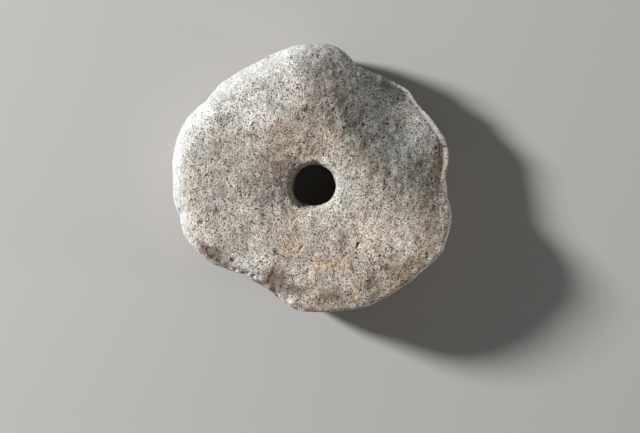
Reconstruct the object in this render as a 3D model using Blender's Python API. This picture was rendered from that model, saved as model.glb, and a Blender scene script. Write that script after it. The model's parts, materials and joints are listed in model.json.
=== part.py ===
"""A fired clay spindle whorl: a thick hand-shaped disc with one flared hole, its rim chipped and worn.

Metres, +Z up. The whorl lies on its underside, with the middle of its outline over the origin.
Bearings are degrees, anticlockwise from +X, seen from above and taken around the spindle hole.
"""

import math

import bmesh
import bpy
import numpy as np

MM = 0.001

# The disc
DISC_RADIUS = 26.5 * MM  # the circle that the potter aimed at
THICKNESS = 12.5 * MM  # at the crown of the upper face
DOME_FALL = 0.9 * MM  # from the crown down to the rim
GIRTH_SHARE = 0.48  # how far up the rim the disc is widest, as a share of the rim's own thickness
GIRTH_SWAY = 0.5 * MM  # how far the girth wanders up and down, twice round the disc
GIRTH_SWAY_START = 40  # bearing of its middle height, in degrees
GIRTH_BULGE = 0.12 * MM  # how far the girth stands out past the wall's upper end
WIGGLE_REACH = 18  # a wiggle of the rim is what stands out from its mean so many degrees either side
WIGGLE_FADE = 0.8  # share of the wiggles that dies out across the rounding
LEAST_EDGE = 1.0 * MM  # the narrowest rounding of the upper face's edge
BRINK_RADIUS = 0.4 * MM  # the tighter bend between the upper face's edge and the wall, at the sharpest rim
BRINK_WEAR = 0.6  # what the bend's radius gains for each unit that the upper edge falls
FOOT_ROUNDING = 2.2 * MM  # width of the rounding under the rim where the rim is sharpest
FOOT_WEAR = 0.4  # what the foot's rounding gains for each unit of width that the upper edge has

# The spindle hole
HOLE_RADIUS = 4.1 * MM
UPPER_FLARE = 1.3 * MM  # wear of the mouth, outwards
UPPER_FLARE_DEPTH = 1.8 * MM
LOWER_FLARE = 0.9 * MM
LOWER_FLARE_DEPTH = 1.1 * MM
DISH_RADIUS = 9.8 * MM  # the hollow that the thumb pressed round the hole
DISH_DEPTH = 1.5 * MM
DISH_SHIFT = -1.1 * MM  # the hollow lies a little to the left of the hole

# The clay
CLAY_COLOUR = (0.46, 0.41, 0.35, 1)
CLAY_ROUGHNESS = 0.92

# How fine the mesh is
SPOKES = 120
WALL_STEPS = 3
FLARE_STEPS = 4
FACE_STEPS = 11
EDGE_STEPS = 6
BRINK_STEPS = 3
FOOT_STEPS = 5
UNDERSIDE_STEPS = 3
LOWER_FLARE_STEPS = 3

# The rim, as shares of the disc's radius at each bearing
RIM = {
    "bay on the right": [(0, 0.973), (3, 0.964), (7.5, 0.989)],
    "right shoulder": [(12, 1.013), (17, 1.023), (23, 1.011), (30, 0.996), (38, 0.977), (47, 0.992)],
    "notch beside the knob": [(52, 0.974), (59, 0.953), (67, 0.94), (73, 0.953)],
    "knob at the top": [(75, 0.982), (77.5, 1.008), (82.5, 1.041), (90, 1.034), (100, 1.028)],
    "upper left": [(110, 1.01), (117, 1.002), (125, 1.007), (132, 1.019), (142, 1.017)],
    "bulge on the left": [(150, 1.053), (161, 1.07), (170, 1.059), (177, 1.042), (185, 1.038)],
    "nick and lower left": [(190, 1.023), (192.5, 1.011), (196, 1.021), (202, 1.018), (210, 0.981)],
    "broken edge": [(218, 0.938), (225, 0.872), (231, 0.828), (237, 0.811), (247, 0.824), (257, 0.885)],
    "flat foot of the outline": [(263, 0.916), (272, 0.919), (285, 0.94), (293, 0.964), (302, 0.968)],
    "corner at the lower right": [(315, 0.984), (321, 1.0), (326, 1.023), (334, 1.051), (341, 1.032)],
    "back to the bay": [(347, 1.03), (351, 1.008), (356, 0.977)],
}

# The edge of the upper face: how wide it is rounded, as a share of the disc's radius, and how many
# degrees the rounding turns down before the brink
EDGE = [
    (0, 0.04, 20), (20, 0.04, 20), (45, 0.05, 24), (66, 0.08, 30), (84, 0.1, 36), (100, 0.15, 46),
    (120, 0.2, 50), (150, 0.17, 46), (180, 0.15, 44), (205, 0.14, 42), (220, 0.1, 36), (245, 0.08, 28),
    (265, 0.06, 20), (280, 0.08, 10), (300, 0.14, 6), (325, 0.18, 5), (340, 0.14, 6), (350, 0.07, 12),
]

# The worn facet at the upper right. It falls away to the right from a crest, which runs straight down from
# the knob and then turns towards the bay. Places and lengths are shares of the disc's radius.
CREST_ACROSS = -0.02  # how far right of the hole the crest runs
CREST_TURN = 0.52  # how far above the hole it turns
CREST_TURN_ROUNDING = 0.1
CREST_DRIFT = 0.9  # how far right it goes for each step down, past the turn
CREST_ROUNDING = 0.04
FACET_SLOPE = 0.22
FACET_FOOT = 0.7  # how far right of the hole it levels out
FACET_FOOT_ROUNDING = 0.12

# Swellings and hollows of the upper face: how far right of the hole, how far above it, half length and
# half width as shares of the disc's radius, how far the length is turned from +X, and the height as a
# share of the thickness
RELIEF = {
    "ridge at the upper left": (-0.32, 0.42, 0.3, 0.2, 60, 0.05),
    "crest below the knob": (-0.09, 0.74, 0.3, 0.13, 92, 0.03),
    "broad hollow left of the hole": (-0.15, -0.02, 0.5, 0.36, 0, -0.1),
    "hollow above the hole": (0.08, 0.32, 0.3, 0.24, 70, -0.03),
    "trough in the facet": (0.57, 0.5, 0.5, 0.24, 98, -0.09),
    "dent behind the bay": (1.04, 0.07, 0.36, 0.26, 84, -0.24),
    "swelling at the lower right": (0.55, -0.42, 0.3, 0.2, 40, 0.03),
    "swelling over the broken edge": (-0.37, -0.6, 0.13, 0.1, 60, 0.035),
    "swelling at the bottom": (0.32, -0.72, 0.16, 0.1, 100, 0.03),
}


def around(readings, bearings):
    """A smooth closed curve through (bearing, value) pairs, read at the given bearings."""
    angle, value = np.array(sorted(readings)).T
    angle = np.concatenate([angle - 360, angle, angle + 360])
    value = np.tile(value, 3)
    slope = np.gradient(value, angle)
    before = np.searchsorted(angle, bearings, side="right") - 1
    after = before + 1
    span = angle[after] - angle[before]
    t = (bearings - angle[before]) / span
    ease = t * t * (3 - 2 * t)
    return (
        value[before] * (1 - ease)
        + value[after] * ease
        + span * t * (1 - t) * (slope[before] * (1 - t) - slope[after] * t)
    )


def swelling(x, y, across, up, half_length, half_width, turn, height):
    """One rounded swelling of the upper face, or a hollow where the height is negative."""
    dx = x - across * DISC_RADIUS
    dy = y - up * DISC_RADIUS
    turn = math.radians(turn)
    along = (dx * math.cos(turn) + dy * math.sin(turn)) / (half_length * DISC_RADIUS)
    beside = (dy * math.cos(turn) - dx * math.sin(turn)) / (half_width * DISC_RADIUS)
    return height * THICKNESS * np.exp(-(along**2) - beside**2)


def beyond(value, rounding):
    """How far a value is above zero, and zero below, with the bend between them rounded."""
    return (value + math.hypot(value, rounding)) / 2


def worn_facet(x, y):
    """How far the worn facet lies below the dome."""
    across, up = x / DISC_RADIUS, y / DISC_RADIUS
    crest = CREST_ACROSS + CREST_DRIFT * beyond(CREST_TURN - up, CREST_TURN_ROUNDING)
    across -= beyond(across - FACET_FOOT, FACET_FOOT_ROUNDING)
    return FACET_SLOPE * DISC_RADIUS * beyond(across - crest, CREST_ROUNDING)


def upper_face(x, y):
    """Height of the upper face over a point, x and y taken from the hole's axis."""
    height = THICKNESS - DOME_FALL * np.hypot(x, y) ** 2 / DISC_RADIUS**2
    from_dish = np.minimum(np.hypot(x - DISH_SHIFT, y) / DISH_RADIUS, 1)
    height -= DISH_DEPTH * (1 + np.cos(math.pi * from_dish)) / 2 + worn_facet(x, y)
    for form in RELIEF.values():
        height += swelling(x, y, *form)
    return height


def levelled(values, reach):
    """Each value as the mean of its neighbours, so many on either side round a closed curve."""
    return np.mean([np.roll(values, shift) for shift in range(-reach, reach + 1)], axis=0)


def quarter(steps):
    """Across and up along a quarter circle, from its top to its side, without the top."""
    turns = np.linspace(0, math.pi / 2, steps + 1)[1:]
    return [(math.sin(turn), math.cos(turn)) for turn in turns]


def profile(bearing, rim, edge_width, edge_turn):
    """The closed section of the disc along one spoke, as (radius, height) pairs."""
    cos, sin = math.cos(math.radians(bearing)), math.sin(math.radians(bearing))
    girth = GIRTH_SHARE * float(upper_face(rim * cos, rim * sin))
    girth += GIRTH_SWAY * math.sin(2 * math.radians(bearing - GIRTH_SWAY_START))

    def face(radius, fall=0.0):
        return radius, max(float(upper_face(radius * cos, radius * sin)) - fall, girth)

    turn = math.radians(edge_turn)
    mouth = HOLE_RADIUS + UPPER_FLARE
    lower_mouth = HOLE_RADIUS + LOWER_FLARE
    wall_top = face(mouth)[1] - UPPER_FLARE_DEPTH
    edge_radius = edge_width / math.sin(turn)
    edge_fall = edge_radius * (1 - math.cos(turn))
    bend = BRINK_RADIUS + BRINK_WEAR * edge_fall
    brink = rim - GIRTH_BULGE - bend
    edge = brink + bend * math.sin(turn) - edge_width
    foot_rounding = FOOT_ROUNDING + FOOT_WEAR * edge_width
    foot = rim - foot_rounding

    section = [face(radius) for radius in np.linspace(mouth, edge, FACE_STEPS + 1)]
    for angle in np.linspace(0, turn, EDGE_STEPS + 1)[1:]:
        section.append(face(edge + edge_radius * math.sin(angle), edge_radius * (1 - math.cos(angle))))
    for angle in np.linspace(turn, math.pi / 2, BRINK_STEPS + 1)[1:]:
        fall = edge_fall + bend * (math.cos(turn) - math.cos(angle))
        section.append(face(brink + bend * math.sin(angle), fall))
    for out, up in reversed(quarter(FOOT_STEPS)):
        section.append((foot + foot_rounding * out, girth * (1 - up)))
    for radius in np.linspace(foot, lower_mouth, UNDERSIDE_STEPS + 1):
        section.append((radius, 0.0))
    for out, up in quarter(LOWER_FLARE_STEPS):
        section.append((lower_mouth - LOWER_FLARE * out, LOWER_FLARE_DEPTH * (1 - up)))
    for height in np.linspace(LOWER_FLARE_DEPTH, wall_top, WALL_STEPS + 1)[1:]:
        section.append((HOLE_RADIUS, height))
    for out, up in reversed(quarter(FLARE_STEPS)[:-1]):
        section.append((mouth - UPPER_FLARE * out, wall_top + UPPER_FLARE_DEPTH * up))
    return section


def disc_mesh():
    """The disc as a closed band of sections round the hole."""
    bearings = np.arange(SPOKES) * 360 / SPOKES
    rim = DISC_RADIUS * around([pair for stretch in RIM.values() for pair in stretch], bearings)
    edge_width = DISC_RADIUS * around([(bearing, width) for bearing, width, _ in EDGE], bearings)
    wiggles = rim - levelled(rim, round(WIGGLE_REACH * SPOKES / 360))
    edge_width = np.maximum(edge_width + WIGGLE_FADE * wiggles, LEAST_EDGE)
    edge_turn = around([(bearing, turn) for bearing, _, turn in EDGE], bearings)
    sections = [profile(*spoke) for spoke in zip(bearings, rim, edge_width, edge_turn)]

    points = np.array(
        [
            (radius * math.cos(math.radians(bearing)), radius * math.sin(math.radians(bearing)), height)
            for bearing, section in zip(bearings, sections)
            for radius, height in section
        ]
    )
    middle = (points.min(axis=0) + points.max(axis=0)) / 2
    points[:, :2] -= middle[:2]

    shape = bmesh.new()
    verts = [shape.verts.new(point) for point in points]
    steps = len(sections[0])
    for spoke in range(SPOKES):
        here, beyond = spoke * steps, (spoke + 1) % SPOKES * steps
        for step in range(steps):
            after = (step + 1) % steps
            shape.faces.new(
                [verts[here + step], verts[here + after], verts[beyond + after], verts[beyond + step]]
            )
    bmesh.ops.recalc_face_normals(shape, faces=shape.faces)
    mesh = bpy.data.meshes.new("spindle_whorl")
    shape.to_mesh(mesh)
    shape.free()
    mesh.shade_smooth()
    return mesh


def fired_clay():
    """Coarse buff-grey pottery, unglazed."""
    material = bpy.data.materials.new("fired_clay")
    material.use_nodes = True
    shader = material.node_tree.nodes["Principled BSDF"]
    shader.inputs["Base Color"].default_value = CLAY_COLOUR
    shader.inputs["Roughness"].default_value = CLAY_ROUGHNESS
    shader.inputs["Metallic"].default_value = 0.0
    return material


def clear_scene():
    for leftover in list(bpy.data.objects):
        bpy.data.objects.remove(leftover, do_unlink=True)


def main():
    clear_scene()
    whorl = bpy.data.objects.new("spindle_whorl", disc_mesh())
    whorl.data.materials.append(fired_clay())
    bpy.context.scene.collection.objects.link(whorl)


main()
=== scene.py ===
"""The looks of a fired clay spindle whorl: its sandy skin, worn and broken edges and firing stains.

Metres, +Z up. The whorl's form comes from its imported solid; this script gives it a fine skin over that form.
Places on the face are where the camera sees them, to the right of the spindle hole's axis and above it, in
millimetres at the height of the whorl's girth.
"""

import json
import math

import bmesh
import bpy
import numpy as np
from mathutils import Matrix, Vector


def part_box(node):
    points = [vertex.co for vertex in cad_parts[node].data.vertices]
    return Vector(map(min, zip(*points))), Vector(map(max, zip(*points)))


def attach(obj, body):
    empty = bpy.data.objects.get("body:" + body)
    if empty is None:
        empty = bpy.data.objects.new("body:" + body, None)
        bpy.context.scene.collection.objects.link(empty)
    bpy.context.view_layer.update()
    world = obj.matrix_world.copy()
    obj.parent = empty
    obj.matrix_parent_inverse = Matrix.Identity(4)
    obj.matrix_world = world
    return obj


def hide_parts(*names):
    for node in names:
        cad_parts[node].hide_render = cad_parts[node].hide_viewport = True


MM = 0.001

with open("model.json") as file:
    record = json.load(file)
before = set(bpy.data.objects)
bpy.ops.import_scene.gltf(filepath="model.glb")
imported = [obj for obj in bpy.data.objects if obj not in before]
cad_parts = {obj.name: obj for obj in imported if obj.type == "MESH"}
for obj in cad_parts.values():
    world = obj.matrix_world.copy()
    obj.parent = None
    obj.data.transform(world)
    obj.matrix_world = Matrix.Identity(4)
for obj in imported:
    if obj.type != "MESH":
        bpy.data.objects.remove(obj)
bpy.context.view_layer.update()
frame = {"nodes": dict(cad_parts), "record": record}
HOLE_AXIS = np.mean(frame["record"]["physics"]["openings"][0]["box_m"], axis=0)[:2]
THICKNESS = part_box("spindle_whorl")[1].z

# The camera looks straight down, and the picture spans the view's width at the height of the whorl's girth
LENS = 85
SENSOR = 36
VIEW_CENTRE = (1.535 * MM, -7.55 * MM)
VIEW_WIDTH = 125.3 * MM
VIEW_DISTANCE = VIEW_WIDTH * LENS / SENSOR
GIRTH = 5.6 * MM

# The lights: bearings from +X and heights above the horizon in degrees, distances and sizes in metres
KEY_BEARING = 160
KEY_ELEVATION = 19
KEY_DISTANCE = 0.9
KEY_SIZE = 0.14
KEY_POWER = 17.7
EDGE_BEARING = -12
EDGE_ELEVATION = 3
EDGE_DISTANCE = 0.7
EDGE_SIZE = 0.08
EDGE_POWER = 2.0

# The sky's faint light, and the pale floor and how far it reaches, in metres
SKY_COLOUR = (1.0, 0.985, 0.96)
HORIZON_STRENGTH = 0.42
ZENITH_STRENGTH = 0.01
FLOOR_COLOUR = (0.5, 0.49, 0.475)
FLOOR_REACH = 1.5

# The skin's mesh: how large its faces are, and how many times it is smoothed
FACE_SIZE = 0.275 * MM
SMOOTHING_ROUNDS = 7

# Where the random numbers of each thing start. Where it has several, they count on from there
SEEDS = {
    "flaked strip": 11, "rubbed rim": 21, "darker wall foot": 22, "scars": 30, "chips": 40,
    "unevenness": 60, "broken edge": 70, "hollows": 90, "stains and painted light": 100,
}
SEEDS_PER_STAIN = 10

# The random numbers themselves: how many rows of them there are, the primes that pick a cube's row, and what
# brings the waves that they make to about -1 to 1
NUMBER_ROWS = 1 << 14
PRIMES = (73856093, 19349663, 83492791)
WAVE_GAIN = 2.2

# How far up the skin faces, as the Z of its normal, where the wall ends and the face begins, where the face
# is about level, and where stains begin and are whole
WALL_ENDS, FACE_BEGINS = 0.05, 0.35
LEVEL_SKIN = 0.5
STAINS_BEGIN, STAINS_WHOLE = -0.8, 0.1

# The skin's unevenness: how far apart the swellings are and how high they stand, in millimetres. The waves
# below are given like this too, but the heights of FLAKE_SWAY and of each RAGGEDNESS are shares of a size
UNEVENNESS = {
    "pats of the hand": (9.0, 0.17),
    "finger dabs": (4.2, 0.11),
    "coarse temper": (2.1, 0.075),
    "sand": (1.1, 0.05),
    "fine sand": (0.65, 0.038),
}

# Hollows left where grains fell out: spacing, radius and depth in millimetres, and the share of places
# that have one. Then how far they stray from their places and in size, as shares, and the power of their
# sides' curve
HOLLOWS = {
    "burst pits": (6.0, 0.55, 0.22, 0.3),
    "lost grains": (2.4, 0.3, 0.12, 0.3),
}
HOLLOW_SHIFT = 0.4
HOLLOW_SPREAD = 0.5
HOLLOW_CURVE = 0.7

# The hole's mouth, rubbed wider at the lower left: bearings in degrees, and the lip's radius, how much wider
# it is where it is worn, how wide its rounding is and how deep, in millimetres
MOUTH_FROM, MOUTH_TO, MOUTH_FADE = 130, 320, 90
LIP_RADIUS = 4.4
LIP_WEAR = 1.2
LIP_ROUNDING = 1.1
LIP_DEPTH = 1.2

# The inside of the hole has painted shade up to the first radius, in millimetres, and height, as a share of
# the thickness, and none from the second. The worn lip has a little painted shade too
SHADED_RADIUS, UNSHADED_RADIUS = 4.3, 4.9
SHADED_HEIGHT, UNSHADED_HEIGHT = 0.6, 0.85
LIP_SHADE = 0.15

# Scars where a flake came off the skin: right of the hole and above it, half length and half width in
# millimetres, how far the length is turned from +X in degrees, and the scar's depth in millimetres
SCARS = {
    "long scar at the lower left": (-19.8, -13.3, 2.6, 0.9, -36, 0.55),
    "crumb above the broken edge": (-16.1, -14.7, 0.55, 0.4, -50, 0.3),
    "scorched scar by the broken edge": (-7.0, -18.6, 2.2, 1.8, -60, 0.03),
    "grey scar at the bottom left": (-4.1, -20.5, 1.6, 0.6, -5, 0.1),
    "scar at the lower right": (11.0, -19.4, 1.4, 0.9, 80, 0.15),
    "long pit": (8.4, -11.5, 0.6, 0.22, 75, 0.3),
    "grey spot above the scorch": (-7.6, -13.0, 0.7, 0.4, -30, 0.15),
    "pit at the left": (-19.2, -5.2, 0.9, 0.5, 70, 0.1),
}

# A scar's side rises from the first share of its size to the second. Then how fresh the clay looks in scars
# and chips
SCAR_BORDER = (0.72, 1.05)
SCAR_RAGGEDNESS = ((1.3, 0.16), (0.6, 0.08))
SCAR_FRESHNESS = 0.2

# Chips of the rim: bearing, how far in from the rim, radius of the bite and its depth in millimetres,
# and how far the bite leans up from the side, in degrees
CHIPS = {
    "first bite of the broken edge": (226.5, 0.25, 0.6, 0.34, 45),
    "second bite of the broken edge": (233.5, 0.2, 0.55, 0.3, 40),
    "third bite of the broken edge": (236.5, 0.2, 0.5, 0.25, 40),
    "nick below the left bulge": (192.0, 0.3, 2.2, 0.3, 30),
    "chip at the bay": (2.0, 0.2, 1.7, 0.3, 25),
    "chip at the lower right": (338.0, 0.3, 2.0, 0.2, 35),
}

# A chip bites the highest point of the skin within this many degrees and millimetres of its place
CHIP_SWEEP, CHIP_REACH = 1, 0.4
CHIP_RAGGEDNESS = ((1.3, 0.1),)

# The strip along the right rim where the skin flaked off and left a level ledge, in degrees and millimetres
FLAKE_FROM, FLAKE_TO, FLAKE_FADE = -5, 58, 9
FLAKE_WIDTH = 1.45
FLAKE_SWAY = ((5.0, 0.3),)
FLAKE_DROP = 0.12
FLAKE_STEP = 0.25
LEVEL_BAND = 0.2  # the ledge takes its height from the skin this near its inner border

# The ledge is rusty along its inner border, for this width in millimetres, give or take a share of it. Below
# a bearing in degrees the whole of it is rusty, by a share
RUST_WIDTH = 0.42
RUST_SOFTNESS = 0.2
RUSTY_TO, RUSTY_FADE = 16, 4
RUSTY_SHARE = 0.6

# The stretch of the lower left rim that broke away raggedly, in degrees and millimetres
BROKEN_FROM, BROKEN_TO, BROKEN_FADE = 219, 268, 6
BROKEN_WIDTH = 2.0
BROKEN_RELIEF = {"lumps": (1.9, 0.3), "crumbs": (0.9, 0.16)}

# The stretch of the left rim that handling has rubbed clean and pale, in degrees, wholly up to the first
# distance from the rim and not at all from the second, in millimetres
WORN_FROM, WORN_TO, WORN_FADE = 75, 215, 30
WORN_WIDTHS = (0.8, 4.0)
WORN_SWAY = ((3.0, 0.7),)

# The rim has a painted cool light tint, wholly up to the first distance and not at all from the second, and
# the wall is darker below the first height and not at all above the second, in millimetres
RIM_WIDTHS = (1.0, 6.0)
WALL_HEIGHTS = (2.0, 10.0)
WALL_SWAY = ((4.0, 1.5),)

# Stains, painted shade and painted light: right of the hole and above it, half length and half width in
# millimetres, how far the length is turned from +X in degrees, and how strong each is
SOOT = {
    "long scar at the lower left": (-19.3, -13.8, 3.6, 1.3, -36, 1.0),
    # The scar's dark end is partly painted shade of its upper left wall
    "dark end of the long scar": (-21.2, -12.5, 1.2, 0.8, -40, 0.7),
    "crumb above the broken edge": (-16.1, -14.7, 0.5, 0.4, -50, 0.8),
    "bites of the broken edge": (-13.6, -17.2, 2.4, 0.35, -32, 0.3),
    "scorch by the broken edge": (-7.7, -19.1, 2.8, 2.3, -62, 1.0),
    "foot of the scorch": (-8.5, -19.7, 1.3, 0.9, -40, 0.7),
    "spot at the bottom left": (-4.3, -20.4, 2.5, 0.75, -8, 0.75),
    "bottom": (2.6, -21.8, 2.8, 1.5, 12, 0.7),
    # These two are painted shade on the worn facet
    "corner of the worn facet": (15.0, 19.0, 2.2, 1.6, -45, 0.35),
    "beside the knob": (6.8, 20.0, 1.4, 2.4, -20, 0.3),
    "lower right": (11.2, -18.0, 1.2, 2.2, 10, 0.5),
    "spot at the lower right": (13.7, -16.0, 0.8, 0.55, 0, 0.8),
    "lower right edge": (17.8, -15.8, 4.2, 1.2, 33, 0.5),
    # A dark line, partly painted shadow of the ledge's step
    "line inside the flaked strip": (24.2, 7.6, 0.35, 1.9, 8, 0.9),
    "dash below the facet": (23.1, -4.4, 0.35, 0.8, 0, 0.8),
    "spot at the left": (-19.2, -5.3, 0.6, 1.1, 10, 0.35),
    "spot near the top": (-7.3, 12.6, 0.45, 0.8, 0, 0.5),
    "long pit": (8.4, -11.5, 0.25, 0.6, -15, 0.9),
    "dot at the right": (20.4, -7.1, 0.3, 0.3, 0, 0.9),
    "pair of dots at the right": (19.9, -10.1, 0.45, 0.6, 0, 0.9),
    "first dark grain": (-6.5, 15.3, 0.55, 0.7, 0, 0.8),
    "second dark grain": (-2.3, 15.0, 0.7, 0.5, 0, 0.8),
    "third dark grain": (-7.8, -13.1, 0.5, 0.75, -30, 0.8),
    "cluster of grains": (-17.2, 13.5, 1.2, 0.8, 30, 0.5),
    "grain left of the cluster": (-18.7, 13.1, 0.6, 0.5, 0, 0.6),
    "dash above left": (-3.7, 13.1, 0.7, 0.35, 20, 0.8),
    "grain above left": (-12.5, 10.0, 0.5, 0.5, 0, 0.7),
    "grain at the left": (-19.5, 8.2, 0.5, 0.5, 0, 0.6),
    "patch at the left": (-19.2, 5.9, 0.8, 1.0, 0, 0.35),
    "dot by the rim": (25.0, -4.9, 0.3, 0.25, 0, 0.9),
}
WARMTH = {
    "below the hole": (-4.2, -12.2, 1.8, 1.7, 0, 0.85),
    "above the bottom": (2.6, -15.1, 3.6, 1.2, -8, 1.0),
    "bottom": (8.4, -20.8, 1.4, 1.8, 0, 0.6),
    "above left of the hole": (-5.0, 8.5, 5.0, 6.0, 5, 0.5),
    "bottom left": (-3.0, -19.5, 3.5, 2.0, 0, 0.2),
    "between the lobe and the facet": (-2.0, 16.0, 2.6, 4.5, 0, 0.25),
    "knob": (3.2, 21.0, 2.6, 5.0, 0, 0.18),
    "below the knob": (1.0, 14.5, 2.2, 3.4, -30, 0.15),
    "upper left lip of the hole": (-5.6, 3.4, 2.8, 2.6, 35, 0.35),
    "upper lip of the hole": (0.0, 5.4, 2.6, 1.2, 0, 0.5),
    "lower left": (-17.0, -9.5, 6.5, 5.0, 0, 0.15),
    "right of the hole": (12.5, -4.0, 4.5, 5.0, 0, 0.15),
    "far lower right": (23.0, -11.5, 3.0, 2.6, 30, 0.35),
    "inside the lower right edge": (14.8, -16.0, 2.2, 2.6, 0, 0.6),
    "left rim": (-24.6, -2.0, 1.6, 7.0, 8, 0.3),
    "below right of the hole": (11.5, -10.0, 4.0, 3.5, 0, 0.25),
    "upper part of the left": (-17.6, 9.0, 3.5, 2.0, 0, 0.4),
    "below left of the hole": (-4.6, -7.0, 2.2, 3.2, 0, 0.5),
    "lower end of the right dip": (22.2, -8.8, 2.4, 4.0, 15, 0.3),
    "left of the hole": (-14.0, 2.5, 6.5, 4.6, 0, 0.25),
    "foot of the worn facet": (10.5, 4.5, 3.0, 5.0, 30, 0.4),
    "right side": (20.2, -4.0, 3.6, 4.0, 0, 0.3),
    "inside the flaked strip": (24.0, 4.5, 1.4, 3.4, 0, 0.5),
    "lower right below the bottom stain": (12.7, -20.6, 4.0, 2.2, 0, 0.8),
    "left bulge": (-23.0, -8.0, 2.2, 8.0, 12, 0.3),
    "above the hole": (3.2, 9.6, 3.4, 2.6, -35, 0.5),
    "lower middle": (2.0, -15.0, 15.0, 8.0, 0, 0.28),
    "spot above left": (-15.0, 5.6, 0.4, 0.5, 0, 0.9),
    "lower right edge": (19.0, -16.5, 7.0, 2.6, 42, 0.8),
    "right edge": (25.0, -5.0, 1.6, 5.0, 0, 0.6),
    "bottom edge": (1.5, -22.8, 6.5, 1.8, 0, 0.8),
}
# Grey clay on the worn facet and a spot at the bottom left, and painted shade where the worn facet and the
# dips fall away from the light
GREYNESS_AND_SHADE = {
    "worn facet": (12.5, 12.5, 12.0, 5.5, -58, 0.7),
    "foot of the worn facet": (8.6, 10.8, 3.0, 2.2, -62, 0.5),
    "worn facet below the rim": (15.6, 17.9, 3.0, 2.2, -50, 0.9),
    "beside the knob": (5.2, 18.4, 1.6, 4.4, 0, 0.5),
    "dip inside the flaked strip": (22.2, -0.5, 1.7, 6.0, 5, 0.4),
    "spot at the bottom left": (-4.3, -20.3, 2.6, 0.9, -8, 0.8),
}
# Painted shade: darkening where the worn facet, the dips, the flaked strip and the hole's sides lie in shade
PAINTED_SHADE = {
    "right lip of the hole": (4.6, -0.3, 0.6, 2.4, 0, 0.4),
    "right of the hole": (10.6, 3.2, 1.3, 5.0, 5, 0.5),
    "below right of the hole": (5.4, -12.8, 1.4, 4.6, 0, 0.6),
    "inside the lower right edge": (14.7, -16.2, 1.6, 1.6, 0, 0.5),
    "left of the hole": (-10.4, -0.5, 3.0, 5.5, 0, 0.45),
    "top": (-1.8, 23.0, 1.2, 1.8, 0, 0.4),
    "above the flaked strip": (22.6, 10.4, 1.1, 4.6, 12, 0.5),
    "lower part of the flaked strip": (24.4, 4.0, 1.4, 3.2, 0, 0.8),
    "beside the knob": (5.3, 18.2, 1.8, 4.4, 5, 0.9),
    "foot of the worn facet": (8.3, 11.3, 2.1, 4.6, 25, 1.0),
    "middle of the worn facet": (16.0, 8.0, 1.6, 4.5, 0, 0.45),
    "lower end of the right dip": (22.6, -5.5, 1.6, 2.6, 0, 0.9),
    "lower end of the worn facet's foot": (12.6, 4.3, 1.9, 3.8, 25, 0.7),
    "below the knob": (0.5, 16.5, 2.0, 4.2, 0, 0.3),
    "far lower right": (22.4, -9.8, 1.8, 2.8, 0, 0.4),
    "corner of the worn facet": (16.1, 19.0, 2.6, 1.7, -45, 0.9),
    "inside the flaked strip": (21.0, 0.2, 2.4, 7.4, 3, 0.95),
    "left end of the broken edge": (-20.6, -14.6, 4.0, 1.6, -38, 0.4),
}
COOLNESS = {
    "upper left": (-9.0, 16.5, 9.0, 5.0, 38, 0.65),
    "right lip of the hole": (5.4, -1.5, 1.4, 3.2, 0, 0.8),
    "left side": (-19.0, 9.0, 3.0, 5.0, -25, 0.4),
    "left shoulder": (-20.0, 14.5, 3.0, 6.0, -35, 0.6),
    "right of the worn facet": (18.5, 7.5, 3.0, 5.0, 0, 0.4),
    "worn facet": (14.0, 9.5, 6.0, 5.0, -45, 0.2),
    # Painted cool light on the shaded corner by the knob
    "corner of the worn facet": (15.5, 20.2, 3.6, 1.8, -40, 0.9),
}
# Pale clean clay in places, and painted light where the face and the right edge catch more light
PALENESS_AND_LIGHT = {
    "lower left": (-9.0, -14.9, 2.6, 2.0, -20, 0.9),
    "beside the long scar": (-13.0, -15.4, 2.4, 0.8, -35, 0.8),
    "upper left lip of the hole": (-5.2, 3.6, 2.6, 1.6, 35, 1.0),
    "bottom right edge": (10.3, -22.0, 2.0, 1.2, 25, 0.8),
    "lower right": (16.0, -11.3, 5.0, 4.0, 0, 1.0),
    "upper left": (-5.2, 19.2, 3.4, 4.8, 0, 1.0),
    "right edge below the flaked strip": (26.2, -3.5, 1.0, 3.5, 0, 1.0),
    "right edge by the flaked strip": (26.0, 6.8, 0.9, 2.2, 0, 1.0),
    "right edge at the bay": (25.8, 0.0, 0.8, 2.0, 0, 1.0),
    "between the hole and the lower right": (12.2, -10.6, 2.2, 4.8, 0, 0.9),
    "far lower right": (20.5, -11.5, 3.0, 4.0, 20, 0.8),
    "bottom left edge": (-4.4, -22.2, 1.8, 1.1, -30, 0.9),
    "left shoulder": (-20.6, 12.6, 2.6, 4.0, -20, 1.0),
    "beside the left lobe": (-14.3, 16.6, 2.2, 3.0, -30, 0.7),
    "above the scorch": (-5.2, -15.9, 4.6, 1.3, -5, 1.0),
    "between the scorch and the bottom stain": (-2.6, -17.2, 2.2, 1.4, 0, 0.9),
    "above the broken edge": (-16.7, -16.0, 2.4, 1.2, -30, 1.0),
    "crest of the broken edge": (-9.8, -17.4, 1.0, 1.8, 30, 1.0),
    "upper lip of the hole": (0.6, 5.2, 2.4, 0.8, 0, 0.9),
    "lower left lip of the hole": (-4.6, -1.6, 1.2, 3.2, 25, 0.9),
    "left lobe": (-12.5, 14.3, 4.5, 3.0, 20, 1.0),
    "above left of the hole": (-5.0, 6.8, 2.8, 2.2, 0, 0.8),
    "below right of the hole": (11.2, -11.8, 3.4, 3.0, 0, 1.0),
    "worn facet": (9.8, 17.0, 1.2, 2.8, 0, 0.9),
}

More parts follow.
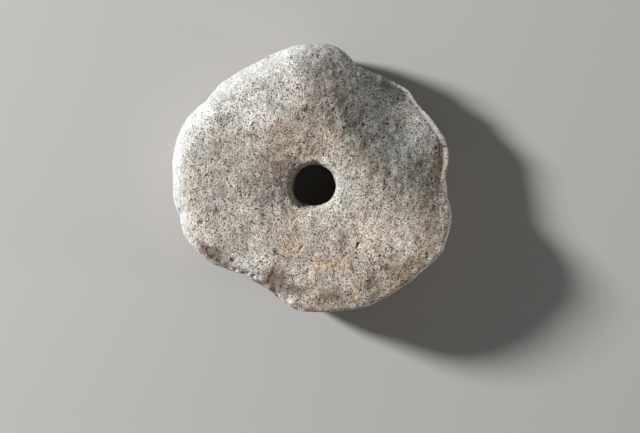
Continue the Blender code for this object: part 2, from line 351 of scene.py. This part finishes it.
# What each kind of stain, painted shade and painted light does to the clay's colour
STAINS_AND_PAINTED_LIGHT = {
    "warmth": (WARMTH, (1.12, 0.93, 0.76)),
    "coolness": (COOLNESS, (0.935, 1.0, 1.05)),
    "greyness_and_shade": (GREYNESS_AND_SHADE, (0.7, 0.77, 0.79)),
    "painted_shade": (PAINTED_SHADE, (0.62, 0.6, 0.58)),
    "paleness_and_light": (PALENESS_AND_LIGHT, (1.32, 1.32, 1.33)),
    "soot": (SOOT, (0.37, 0.29, 0.245)),
}

# A stain, painted shade or painted light has its full strength up to the first share of its size, and none
# from the second
STAIN_BORDER = (0.35, 1.6)
STAIN_RAGGEDNESS = ((1.6, 0.3), (0.6, 0.3))

# What the other marks on the skin do to it
MARKS = {
    # Painted cool light along the rim
    "rim": (0.95, 1.0, 1.07),
    # Painted shade inside the hole and on its worn lip
    "painted_hole_shade": (0.3, 0.26, 0.23),
    # Darker towards the foot of the wall
    "low": (0.56, 0.53, 0.49),
    "rusty": (1.12, 0.88, 0.74),
}

# The bare and the rubbed clay, and how much of the clay's own colour each hides
FRESH_CLAY, FRESH_SHARE = (0.66, 0.64, 0.61), 0.7
RUBBED_CLAY, RUBBED_SHARE = (0.575, 0.59, 0.61), 0.5

# What specks and the dirt in pits do to the clay, how strongly, and how much less where it is rubbed
SPECK_TINT, SPECK_STRENGTH, SPECKS_RUBBED = (0.16, 0.105, 0.07), 0.85, 0.6
DIRT_TINT, DIRT_STRENGTH, DIRT_RUBBED = (0.14, 0.1, 0.075), 0.9, 0.4

# The colours of the sand grains, and what the coarser grains do to them, along each grain's random tone.
# Then how strongly the coarser ones do it, and the two hues that they go between
SAND_COLOURS = (
    (0.0, (0.05, 0.035, 0.025)), (0.05, (0.08, 0.06, 0.045)), (0.11, (0.4, 0.36, 0.315)),
    (0.5, (0.54, 0.505, 0.46)), (0.85, (0.64, 0.61, 0.57)), (0.93, (0.73, 0.71, 0.68)),
    (1.0, (0.76, 0.745, 0.72)),
)
TEMPER_TINTS = (
    (0.0, (0.77, 0.73, 0.68)), (0.2, (0.96, 0.95, 0.93)), (0.75, (1.02, 1.0, 0.98)),
    (1.0, (1.11, 1.12, 1.13)),
)
TEMPER_SHARE = 0.35
TEMPER_HUES = (1.02, 0.99, 0.975), (0.98, 1.0, 1.01)

# The sizes of the grains and how high they stand, and the spacing, radius and share of the specks and of the
# smallest pits, and how deep these are, in millimetres
FINE_GRAIN, FINE_HEIGHT = 0.175, 0.11
COARSE_GRAIN, COARSE_HEIGHT = 0.6, 0.04
SPECKS = (0.46, 0.14, 1.0)
PINHOLES, PINHOLE_DEPTH = (0.78, 0.16, 0.85), 0.09
SOCKETS, SOCKET_DEPTH = (1.9, 0.3, 0.25), 0.13

# Shares of a grain's size and of the radius given for pits and specks: how far out a grain slopes down, how
# small the smallest pit is, how much larger the largest is, and how much of a pit's own radius is its floor
GRAIN_SLOPE = 0.75
SMALLEST_PIT, PIT_SPREAD = 0.6, 0.8
PIT_FLOOR = 0.65

# The clay's own patches: how many in a millimetre, their detail and spread, and the tints they go between
PATCHES = {
    "mottling": (1.1, 2.0, 0.2, (0.92, 0.9, 0.88), (1.08, 1.1, 1.11)),
    "blotches": (0.42, 1.0, 0.2, (0.87, 0.86, 0.84), (1.13, 1.14, 1.15)),
    "pinkish and greenish patches": (0.62, 2.0, 0.15, (1.02, 0.985, 0.98), (0.972, 1.0, 0.975)),
}


def make_camera():
    camera = bpy.data.objects.new("camera", bpy.data.cameras.new("camera"))
    camera.data.lens = LENS
    camera.data.sensor_width = SENSOR
    camera.data.clip_start = 0.01
    camera.location = (*VIEW_CENTRE, GIRTH + VIEW_DISTANCE)
    bpy.context.scene.collection.objects.link(camera)
    bpy.context.scene.camera = camera
    bpy.context.scene.view_settings.view_transform = "Standard"


def make_light(name, bearing, elevation, distance, size, power):
    """A round soft light, aimed at the whorl's face."""
    light = bpy.data.objects.new(name, bpy.data.lights.new(name, "AREA"))
    light.data.shape = "DISK"
    light.data.size = size
    light.data.energy = power
    bearing, elevation = math.radians(bearing), math.radians(elevation)
    flat = Vector((math.cos(bearing), math.sin(bearing), 0)) * math.cos(elevation)
    direction = flat + Vector((0, 0, math.sin(elevation)))
    light.location = direction * distance + Vector((0, 0, THICKNESS))
    light.rotation_euler = direction.to_track_quat("Z", "Y").to_euler()
    bpy.context.scene.collection.objects.link(light)


def make_lights():
    make_light("key_light", KEY_BEARING, KEY_ELEVATION, KEY_DISTANCE, KEY_SIZE, KEY_POWER)
    make_light("edge_light", EDGE_BEARING, EDGE_ELEVATION, EDGE_DISTANCE, EDGE_SIZE, EDGE_POWER)

    world = bpy.data.worlds.new("studio")
    bpy.context.scene.world = world
    world.use_nodes = True
    nodes, links = world.node_tree.nodes, world.node_tree.links
    sky = nodes["Background"]
    sky.inputs["Color"].default_value = (*SKY_COLOUR, 1)
    direction = nodes.new("ShaderNodeTexCoord")
    parts = nodes.new("ShaderNodeSeparateXYZ")
    strength = nodes.new("ShaderNodeMapRange")
    strength.inputs["To Min"].default_value = HORIZON_STRENGTH
    strength.inputs["To Max"].default_value = ZENITH_STRENGTH
    links.new(direction.outputs["Generated"], parts.inputs["Vector"])
    links.new(parts.outputs["Z"], strength.inputs["Value"])
    links.new(strength.outputs["Result"], sky.inputs["Strength"])


def make_floor():
    mesh = bpy.data.meshes.new("floor")
    shape = bmesh.new()
    bmesh.ops.create_grid(shape, x_segments=1, y_segments=1, size=FLOOR_REACH)
    shape.to_mesh(mesh)
    shape.free()
    floor = bpy.data.objects.new("floor", mesh)
    bpy.context.scene.collection.objects.link(floor)
    material = bpy.data.materials.new("pale_floor")
    material.use_nodes = True
    shader = material.node_tree.nodes["Principled BSDF"]
    shader.inputs["Base Color"].default_value = (*FLOOR_COLOUR, 1)
    shader.inputs["Roughness"].default_value = 0.9
    mesh.materials.append(material)


def lattice(points, size, seed, columns):
    """The corner of the cube that each point is in, where in the cube it is, and a reader of each cube's
    own random numbers."""
    rng = np.random.default_rng(seed)
    table = rng.uniform(-1, 1, size=(NUMBER_ROWS, columns))
    place = points / size + rng.uniform(0, 1000, 3)
    corner = np.floor(place).astype(np.int64)

    def numbers(cubes):
        mixed = cubes * PRIMES
        return table[(mixed[:, 0] ^ mixed[:, 1] ^ mixed[:, 2]) % NUMBER_ROWS]

    return corner, place - corner, numbers


def waviness(points, wavelength, seed):
    """Smooth random values, mostly within -1 to 1, that change over about the given wavelength."""
    corner, inside, slopes = lattice(points, wavelength, seed, 3)
    ease = inside**3 * (inside * (inside * 6 - 15) + 10)
    total = np.zeros(len(points))
    for step in np.ndindex(2, 2, 2):
        step = np.array(step)
        share = np.where(step, ease, 1 - ease).prod(axis=1)
        total += share * (slopes(corner + step) * (inside - step)).sum(axis=1)
    return total * WAVE_GAIN


def layered_waves(points, waves, seed):
    """The sum of waves that each have a wavelength in millimetres and a height."""
    return sum(
        height * waviness(points, wavelength * MM, seed + number)
        for number, (wavelength, height) in enumerate(waves)
    )


def hollows(points, spacing, radius, share, seed):
    """Depth, 0 to 1, of round hollows that lie about the given spacing apart."""
    corner, inside, numbers = lattice(points, spacing, seed, 5)
    deepest = np.zeros(len(points))
    for step in np.ndindex(3, 3, 3):
        step = np.array(step) - 1
        number = numbers(corner + step)
        centre = step + 0.5 + HOLLOW_SHIFT * number[:, :3]
        reach = radius / spacing * (1 + HOLLOW_SPREAD * number[:, 3])
        away = np.linalg.norm(inside - centre, axis=1) / reach
        depth = np.clip(1 - away**2, 0, 1) ** HOLLOW_CURVE
        deepest = np.maximum(deepest, np.where(number[:, 4] < 2 * share - 1, depth, 0))
    return deepest


def ramp(values, low, high):
    """0 up to low, 1 from high on, and an even curve between them."""
    t = np.clip((values - low) / (high - low), 0, 1)
    return t * t * (3 - 2 * t)


def fine_skin(node, name):
    """A closed mesh of small even faces over the node's form, with its facets smoothed away."""
    mesh = node.data.copy()
    mesh.name = name
    mesh.materials.clear()
    shape = bmesh.new()
    shape.from_mesh(mesh)
    bmesh.ops.remove_doubles(shape, verts=shape.verts, dist=0.001 * MM)
    shape.to_mesh(mesh)
    shape.free()
    piece = bpy.data.objects.new(name, mesh)
    bpy.context.scene.collection.objects.link(piece)
    remesh = piece.modifiers.new("even faces", "REMESH")
    remesh.mode = "VOXEL"
    remesh.voxel_size = FACE_SIZE
    smooth = piece.modifiers.new("no facets", "SMOOTH")
    smooth.factor = 0.5
    smooth.iterations = SMOOTHING_ROUNDS
    evaluated = piece.evaluated_get(bpy.context.evaluated_depsgraph_get())
    fine = bpy.data.meshes.new_from_object(evaluated)
    fine.name = name
    piece.modifiers.clear()
    piece.data = fine
    bpy.data.meshes.remove(mesh)
    return piece


def from_hole(points):
    """Distance from the hole's axis, and bearing in degrees from +X, within -180 to 180."""
    offset = points[:, :2] - HOLE_AXIS
    return np.hypot(*offset.T), np.degrees(np.arctan2(offset[:, 1], offset[:, 0]))


def inset_from_rim(points):
    """How far each point lies inside the outline, on a line to the hole's axis."""
    distance, bearing = from_hole(points)
    rim = np.zeros(360)
    np.maximum.at(rim, np.round(bearing).astype(int) % 360, distance)
    return np.interp(bearing % 360, np.arange(361), np.append(rim, rim[0])) - distance


def between_bearings(bearing, start, end, fade):
    """1 within a stretch of bearings, and 0 outside it, fading over the given degrees at both ends."""
    return ramp(bearing, start, start + fade) * (1 - ramp(bearing, end - fade, end))


def faces_up(normals):
    """1 on the upper face and its rounded edge, and 0 on the wall and below."""
    return ramp(normals[:, 2], WALL_ENDS, FACE_BEGINS)


def flake_the_right_rim(points, normals):
    """Levels the strip whose skin came off, and returns where it is pale, and where it is rusty."""
    inset = inset_from_rim(points)
    bearing = from_hole(points)[1]
    along = between_bearings(bearing, FLAKE_FROM, FLAKE_TO, FLAKE_FADE) * faces_up(normals)
    width = FLAKE_WIDTH * MM * (1 + layered_waves(points, FLAKE_SWAY, SEEDS["flaked strip"]))
    strip = along * (1 - ramp(inset, width - FLAKE_STEP * MM, width))

    by_degree = np.round(bearing).astype(int) % 360
    beside = (abs(inset - width) < LEVEL_BAND * MM) & (normals[:, 2] > LEVEL_SKIN)
    heights = np.bincount(by_degree[beside], points[beside, 2], 360)
    heights /= np.maximum(np.bincount(by_degree[beside], minlength=360), 1)
    level = np.interp(bearing % 360, np.arange(361), np.append(heights, heights[0])) - FLAKE_DROP * MM
    points[:, 2] += strip * (level - points[:, 2])
    widest, narrowest = (1 + RUST_SOFTNESS) * RUST_WIDTH * MM, (1 - RUST_SOFTNESS) * RUST_WIDTH * MM
    rusty = ramp(inset, width - widest, width - narrowest)
    low = 1 - ramp(bearing, RUSTY_TO - RUSTY_FADE, RUSTY_TO + RUSTY_FADE)
    rusty = np.maximum(rusty, RUSTY_SHARE * low)
    return strip * (1 - rusty), strip * rusty


def place_on_face(points, right, above, length, width, turn):
    """How far off a place each point is, 1 at the place's border."""
    turn = math.radians(turn)
    nearness = VIEW_DISTANCE / (VIEW_DISTANCE + GIRTH - points[:, 2:])
    seen = VIEW_CENTRE + (points[:, :2] - VIEW_CENTRE) * nearness
    x, y = ((seen - HOLE_AXIS) / MM - (right, above)).T
    along = (x * math.cos(turn) + y * math.sin(turn)) / length
    beside = (y * math.cos(turn) - x * math.sin(turn)) / width
    return np.hypot(along, beside)


def wear_the_mouth(points, normals):
    """Rounds the worn lip of the hole down, and returns the painted shade inside the hole and on the worn lip.
    """
    distance, bearing = from_hole(points)
    worn = between_bearings(bearing % 360, MOUTH_FROM, MOUTH_TO, MOUTH_FADE)
    lip = (LIP_RADIUS + LIP_WEAR * worn) * MM
    lowered = (1 - ramp(distance, lip - LIP_ROUNDING * MM, lip)) * worn * faces_up(normals)
    points[:, 2] -= lowered * LIP_DEPTH * MM
    within = 1 - ramp(distance, SHADED_RADIUS * MM, UNSHADED_RADIUS * MM)
    below = 1 - ramp(points[:, 2], SHADED_HEIGHT * THICKNESS, UNSHADED_HEIGHT * THICKNESS)
    return np.maximum(within * below, LIP_SHADE * lowered)


def scar_the_face(points, normals):
    """Sinks the scars into the skin, with steep borders, and returns where they are."""
    ragged = layered_waves(points, SCAR_RAGGEDNESS, SEEDS["scars"])
    raw = np.zeros(len(points))
    for *place, depth in SCARS.values():
        sunk = (1 - ramp(place_on_face(points, *place) + ragged, *SCAR_BORDER)) * faces_up(normals)
        points -= normals * (sunk * depth * MM)[:, None]
        raw = np.maximum(raw, sunk)
    return raw


def chip_the_rim(points):
    """Pushes the rim in where a lump broke off, and returns where."""
    inset = inset_from_rim(points)
    bearing = from_hole(points)[1]
    raw = np.zeros(len(points))
    for number, (turn, inwards, radius, depth, lean) in enumerate(CHIPS.values()):
        off = (bearing - turn + 180) % 360 - 180
        near = (abs(off) < CHIP_SWEEP) & (abs(inset - inwards * MM) < CHIP_REACH * MM)
        edge = points[near][points[near][:, 2].argmax()]
        turn, lean = math.radians(turn), math.radians(lean)
        outwards = (math.cos(lean) * math.cos(turn), math.cos(lean) * math.sin(turn), math.sin(lean))
        centre = edge + np.array(outwards) * (radius - depth) * MM
        away = points - centre
        distance = np.linalg.norm(away, axis=1)
        reach = radius * MM * (1 + layered_waves(points, CHIP_RAGGEDNESS, SEEDS["chips"] + number))
        inside = distance < reach
        points[inside] = centre + away[inside] * (reach / distance)[inside, None]
        raw[inside] = 1
    return raw


def stain(points, normals, places, seed):
    """How strongly each point is stained or painted with shade or light, with ragged borders."""
    ragged = layered_waves(points, STAIN_RAGGEDNESS, seed)
    clear = np.ones(len(points))
    for *place, strength in places.values():
        clear *= 1 - strength * (1 - ramp(place_on_face(points, *place) + ragged, *STAIN_BORDER))
    return (1 - clear) * ramp(normals[:, 2], STAINS_BEGIN, STAINS_WHOLE)


def coordinates(mesh, what="co"):
    values = np.empty(len(mesh.vertices) * 3, np.float32)
    mesh.vertices.foreach_get(what, values)
    return values.reshape(-1, 3).astype(float)


def keep(mesh, name, values):
    """Stores one value for each point, for the material to read."""
    layer = mesh.attributes.new(name, "FLOAT", "POINT")
    layer.data.foreach_set("value", values.astype(np.float32))


def wear_marks(points):
    """Where the rim is rubbed, how near the rim each point is, for its painted cool light, and how low on the
    wall.
    """
    inset, bearing = inset_from_rim(points) / MM, from_hole(points)[1] % 360
    height = points[:, 2] / MM + layered_waves(points, WALL_SWAY, SEEDS["darker wall foot"])
    upper = ramp(height, *WALL_HEIGHTS)
    rubbed = 1 - ramp(inset + layered_waves(points, WORN_SWAY, SEEDS["rubbed rim"]), *WORN_WIDTHS)
    return {
        "worn": rubbed * between_bearings(bearing, WORN_FROM, WORN_TO, WORN_FADE) * upper,
        # The rim's painted cool light
        "rim": (1 - ramp(inset, *RIM_WIDTHS)) * upper,
        # Darker towards the foot of the wall
        "low": 1 - upper,
    }


def break_the_skin(points, normals):
    """Flakes, wears, scars and chips the whorl, and returns where it is fresh, rusty and painted with the
    hole's shade.
    """
    fresh, rusty = flake_the_right_rim(points, normals)
    painted_hole_shade = wear_the_mouth(points, normals)
    scarred = scar_the_face(points, normals)
    raw = np.maximum(chip_the_rim(points), scarred)
    fresh = np.maximum(fresh, SCAR_FRESHNESS * raw)
    return {"fresh": fresh, "rusty": rusty, "painted_hole_shade": painted_hole_shade}


def roughness(points):
    """How far the skin stands out at each point, in millimetres, and how deep in a hollow the point is."""
    relief = layered_waves(points, UNEVENNESS.values(), SEEDS["unevenness"])
    broken = 1 - ramp(inset_from_rim(points), 0, BROKEN_WIDTH * MM)
    broken *= between_bearings(from_hole(points)[1] % 360, BROKEN_FROM, BROKEN_TO, BROKEN_FADE)
    relief += broken * layered_waves(points, BROKEN_RELIEF.values(), SEEDS["broken edge"])
    pitted = np.zeros(len(points))
    for number, (spacing, radius, depth, share) in enumerate(HOLLOWS.values()):
        depths = hollows(points, spacing * MM, radius * MM, share, SEEDS["hollows"] + number)
        relief -= depth * depths
        pitted = np.maximum(pitted, depths)
    return relief, pitted


def move_to(mesh, points):
    mesh.vertices.foreach_set("co", points.ravel())
    mesh.update()


def weather(piece):
    """Breaks, wears and roughens the whorl's skin, and stores its stains, painted shade, painted light and
    marks for the clay.
    """
    mesh = piece.data
    points, smooth_normals = coordinates(mesh), coordinates(mesh, "normal")
    smooth_points = points.copy()
    marks = {**wear_marks(points), **break_the_skin(points, smooth_normals)}
    move_to(mesh, points)
    relief, marks["pitted"] = roughness(smooth_points)
    points += coordinates(mesh, "normal") * relief[:, None] * MM

    # Nothing reaches below the floor
    points[:, 2] = np.maximum(points[:, 2], 0)
    move_to(mesh, points)
    mesh.shade_smooth()
    for number, (name, (places, _)) in enumerate(STAINS_AND_PAINTED_LIGHT.items()):
        seed = SEEDS["stains and painted light"] + SEEDS_PER_STAIN * number
        marks[name] = stain(smooth_points, smooth_normals, places, seed)
    for name, values in marks.items():
        keep(mesh, name, values)


class Nodes:
    """Adds nodes to a tree and links them, so that a material reads as a list of its steps."""

    def __init__(self, tree):
        self.tree = tree

    def add(self, kind, settings=None, **inputs):
        node = self.tree.nodes.new(kind)
        for name, value in (settings or {}).items():
            setattr(node, name, value)
        for name, value in inputs.items():
            self.feed(node, name.replace("_", " "), value)
        return node

    def feed(self, node, socket, value):
        socket = node.inputs[int(socket[2:])] if socket.startswith("at") else node.inputs[socket]
        if isinstance(value, bpy.types.NodeSocket):
            self.tree.links.new(value, socket)
        else:
            socket.default_value = value

    def math(self, operation, *values):
        node = self.tree.nodes.new("ShaderNodeMath")
        node.operation = operation
        for number, value in enumerate(values):
            self.feed(node, f"at{number}", value)
        return node.outputs[0]

    def mix(self, share, first, second, blend="MIX"):
        """Two colours mixed, the second by the given share."""
        node = self.tree.nodes.new("ShaderNodeMix")
        node.data_type = "RGBA"
        node.blend_type = blend
        self.feed(node, "at0", share)

        # The node has sockets for other kinds of values before those for colours
        for number, colour in ((6, first), (7, second)):
            self.feed(node, f"at{number}", colour)
        return node.outputs[2]

    def between(self, value, low, high, start=0.0, end=1.0):
        """The value moved from one range to another, and held within it."""
        node = self.add(
            "ShaderNodeMapRange", {"interpolation_type": "SMOOTHSTEP"},
            Value=value, From_Min=low, From_Max=high, To_Min=start, To_Max=end,
        )
        return node.outputs[0]

    def marked(self, name):
        return self.add("ShaderNodeAttribute", {"attribute_name": name}).outputs["Fac"]


def node_group(name, inputs, outputs):
    """A new shader node group with the given sockets, and the nodes that lead into it and out of it."""
    group = bpy.data.node_groups.new(name, "ShaderNodeTree")
    for socket, (kind, value) in inputs.items():
        made = group.interface.new_socket(socket, in_out="INPUT", socket_type=kind)
        if value is not None:
            made.default_value = value
    for socket, kind in outputs.items():
        group.interface.new_socket(socket, in_out="OUTPUT", socket_type=kind)
    nodes = Nodes(group)
    return group, nodes, nodes.add("NodeGroupInput"), nodes.add("NodeGroupOutput")


def grains_group():
    """Grains of sand packed side by side: a random tone for each, and its rounded height."""
    group, nodes, given, result = node_group(
        "sand_grains",
        {"Place": ("NodeSocketVector", None), "Size": ("NodeSocketFloat", 0.4)},
        {"Tone": "NodeSocketFloat", "Second Tone": "NodeSocketFloat", "Height": "NodeSocketFloat"},
    )
    scale = nodes.math("DIVIDE", 1.0, given.outputs["Size"])
    cells = nodes.add("ShaderNodeTexVoronoi", Vector=given.outputs["Place"], Scale=scale, Randomness=1.0)
    tones = nodes.add("ShaderNodeSeparateColor", Color=cells.outputs["Color"])
    nodes.feed(result, "Tone", tones.outputs["Red"])
    nodes.feed(result, "Second Tone", tones.outputs["Green"])
    nodes.feed(result, "Height", nodes.between(cells.outputs["Distance"], 0.0, GRAIN_SLOPE, 1.0, 0.0))
    return group


def pits_group():
    """Small round pits, some missing: how deep each place is, 0 to 1."""
    group, nodes, given, result = node_group(
        "pits",
        {
            "Place": ("NodeSocketVector", None),
            "Spacing": ("NodeSocketFloat", 0.8),
            "Radius": ("NodeSocketFloat", 0.2),
            "Share": ("NodeSocketFloat", 0.6),
        },
        {"Depth": "NodeSocketFloat"},
    )
    scale = nodes.math("DIVIDE", 1.0, given.outputs["Spacing"])
    cells = nodes.add("ShaderNodeTexVoronoi", Vector=given.outputs["Place"], Scale=scale, Randomness=1.0)
    tones = nodes.add("ShaderNodeSeparateColor", Color=cells.outputs["Color"])
    away = nodes.math("MULTIPLY", cells.outputs["Distance"], given.outputs["Spacing"])
    size = nodes.math("MULTIPLY_ADD", tones.outputs["Blue"], PIT_SPREAD, SMALLEST_PIT)
    reach = nodes.math("MULTIPLY", given.outputs["Radius"], size)
    depth = nodes.between(nodes.math("DIVIDE", away, reach), PIT_FLOOR, 1.0, 1.0, 0.0)
    there = nodes.math("LESS_THAN", tones.outputs["Green"], given.outputs["Share"])
    nodes.feed(result, "Depth", nodes.math("MULTIPLY", depth, there))
    return group


def patches_group():
    """Soft random patches: a tint that goes between two others."""
    group, nodes, given, result = node_group(
        "patches",
        {
            "Place": ("NodeSocketVector", None),
            "Scale": ("NodeSocketFloat", 1.0),
            "Detail": ("NodeSocketFloat", 2.0),
            "Spread": ("NodeSocketFloat", 0.2),
            "First": ("NodeSocketColor", None),
            "Second": ("NodeSocketColor", None),
        },
        {"Tint": "NodeSocketColor"},
    )
    noise = nodes.add(
        "ShaderNodeTexNoise", Vector=given.outputs["Place"], Scale=given.outputs["Scale"],
        Detail=given.outputs["Detail"], Roughness=0.6,
    )
    low = nodes.math("SUBTRACT", 0.5, given.outputs["Spread"])
    high = nodes.math("ADD", 0.5, given.outputs["Spread"])
    share = nodes.between(noise.outputs["Fac"], low, high)
    nodes.feed(result, "Tint", nodes.mix(share, given.outputs["First"], given.outputs["Second"]))
    return group


def colour_ramp(nodes, value, steps):
    """Colours along a value, from a list of (position, colour)."""
    node = nodes.add("ShaderNodeValToRGB", Fac=value)
    while len(node.color_ramp.elements) < len(steps):
        node.color_ramp.elements.new(1.0)
    for element, (position, colour) in zip(node.color_ramp.elements, steps):
        element.position = position
        element.color = whole(colour)
    return node.outputs["Color"]


def whole(colour):
    """A colour with the fourth number that sockets ask for."""
    return (*colour, 1)


def clay_material():
    material = bpy.data.materials.new("fired_clay")
    material.use_nodes = True
    nodes = Nodes(material.node_tree)
    shader = material.node_tree.nodes["Principled BSDF"]
    shader.inputs["Roughness"].default_value = 0.95
    shader.inputs["Specular IOR Level"].default_value = 0.25

    metres = nodes.add("ShaderNodeTexCoord").outputs["Object"]
    place = nodes.add("ShaderNodeVectorMath", {"operation": "SCALE"}, at0=metres, Scale=1 / MM).outputs[0]
    grains, pits, patches = grains_group(), pits_group(), patches_group()

    def grouped(group, **values):
        return nodes.add("ShaderNodeGroup", {"node_tree": group}, Place=place, **values).outputs

    def pitted(spacing, radius, share):
        return grouped(pits, Spacing=spacing, Radius=radius, Share=share)["Depth"]

    def tinted(colour, tint, share=1.0):
        return nodes.mix(share, colour, tint, "MULTIPLY")

    fine, coarse = grouped(grains, Size=FINE_GRAIN), grouped(grains, Size=COARSE_GRAIN)
    specks, pinholes, sockets = pitted(*SPECKS), pitted(*PINHOLES), pitted(*SOCKETS)

    # Buff clay, from grain to grain and place to place
    colour = colour_ramp(nodes, fine["Tone"], SAND_COLOURS)
    colour = tinted(colour, colour_ramp(nodes, coarse["Tone"], TEMPER_TINTS), TEMPER_SHARE)
    colour = tinted(colour, nodes.mix(coarse["Second Tone"], *(whole(hue) for hue in TEMPER_HUES)))
    for scale, detail, spread, first, second in PATCHES.values():
        patch = grouped(
            patches, Scale=scale, Detail=detail, Spread=spread, First=whole(first), Second=whole(second)
        )
        colour = tinted(colour, patch["Tint"])

    # Stains, painted shade and painted light, wear, and dirt in the pits
    for name, (_, tint) in STAINS_AND_PAINTED_LIGHT.items():
        colour = tinted(colour, whole(tint), nodes.marked(name))
    for name, tint in MARKS.items():
        colour = tinted(colour, whole(tint), nodes.marked(name))
    worn = nodes.marked("worn")
    fresh = nodes.math("MULTIPLY", nodes.marked("fresh"), FRESH_SHARE)
    colour = nodes.mix(fresh, colour, whole(FRESH_CLAY))
    colour = nodes.mix(nodes.math("MULTIPLY", worn, RUBBED_SHARE), colour, whole(RUBBED_CLAY))
    dirt = nodes.math("MAXIMUM", pinholes, nodes.math("MAXIMUM", sockets, nodes.marked("pitted")))
    strength = nodes.math("MULTIPLY_ADD", worn, -DIRT_RUBBED, DIRT_STRENGTH)
    colour = tinted(colour, whole(DIRT_TINT), nodes.math("MULTIPLY", dirt, strength))
    strength = nodes.math("MULTIPLY_ADD", worn, -SPECKS_RUBBED, SPECK_STRENGTH)
    colour = tinted(colour, whole(SPECK_TINT), nodes.math("MULTIPLY", specks, strength))
    nodes.feed(shader, "Base Color", colour)

    # Heights in millimetres
    height = nodes.math("MULTIPLY", fine["Height"], FINE_HEIGHT)
    height = nodes.math("MULTIPLY_ADD", coarse["Height"], COARSE_HEIGHT, height)
    height = nodes.math("MULTIPLY_ADD", pinholes, -PINHOLE_DEPTH, height)
    height = nodes.math("MULTIPLY_ADD", sockets, -SOCKET_DEPTH, height)
    bump = nodes.add("ShaderNodeBump", Strength=1.0, Distance=MM, Height=height)
    nodes.feed(shader, "Normal", bump.outputs["Normal"])
    return material


make_camera()
make_lights()
make_floor()
whorl = fine_skin(frame["nodes"]["spindle_whorl"], "whorl_body")
weather(whorl)
whorl.data.materials.append(clay_material())
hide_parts("spindle_whorl")
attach(whorl, "root")
